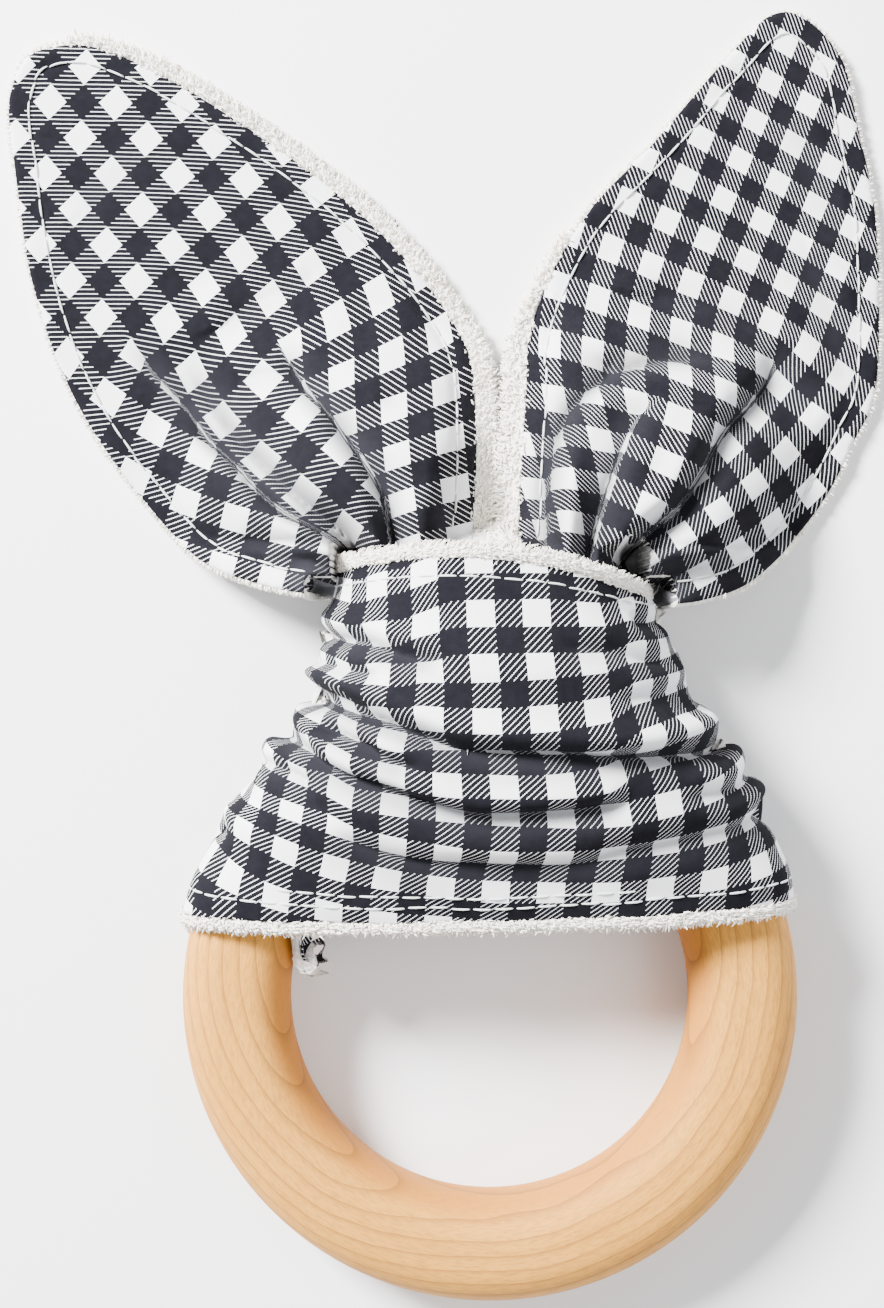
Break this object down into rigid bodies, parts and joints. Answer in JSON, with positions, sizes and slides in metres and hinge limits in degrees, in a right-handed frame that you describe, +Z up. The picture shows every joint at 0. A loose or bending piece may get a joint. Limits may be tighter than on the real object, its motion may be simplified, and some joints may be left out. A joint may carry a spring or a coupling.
{
  "type": "teething ring",
  "caption": "Baby teether: round wooden ring with a double-layer cloth strip looped through it and left as two soft pointed ears that flop.",
  "frame": {"origin": "where the wooden ring's axis meets the surface that the toy lies on", "axes": "+X to the viewer's right, +Y from the ring towards the tips of the ears, +Z up out of the surface, towards the viewer, with the checked face on top"},
  "size_m": [0.1031, 0.1498, 0.0268],
  "materials": {
    "wood": "bare sanded beech or maple, end to end smooth",
    "gingham": "black and white gingham check, cotton twill",
    "terry": "white looped terry",
    "thread": "white sewing thread"
  },
  "bodies": {
    "knot": {"band_face": "gingham", "band_backing": "terry", "band_topstitch": "thread", "left_wrap_backing": "terry", "left_wrap_face": "gingham", "left_neck_face": "gingham", "left_neck_backing": "terry", "right_wrap_backing": "terry", "right_wrap_face": "gingham", "right_neck_face": "gingham", "right_neck_backing": "terry"},
    "ring": {"wooden_ring": "wood"},
    "left_ear": {"left_ear_backing": "terry", "left_ear_face": "gingham", "left_ear_topstitch": "thread"},
    "right_ear": {"right_ear_backing": "terry", "right_ear_face": "gingham", "right_ear_topstitch": "thread"}
  },
  "joints": [
    {"name": "ring_spin", "type": "hinge", "parent": "knot", "child": "ring", "pos_m": [0, 0, 0.00173], "axis": [0, -0.0576, 0.9983], "continuous": true},
    {"name": "left_ear_flop", "type": "hinge", "parent": "knot", "child": "left_ear", "pos_m": [-0.0087, 0.051, 0.012], "axis": [1, 0, 0], "range_deg": [-60, 70]},
    {"name": "right_ear_flop", "type": "hinge", "parent": "knot", "child": "right_ear", "pos_m": [0.0095, 0.051, 0.012], "axis": [1, 0, 0], "range_deg": [-60, 70]}
  ]
}
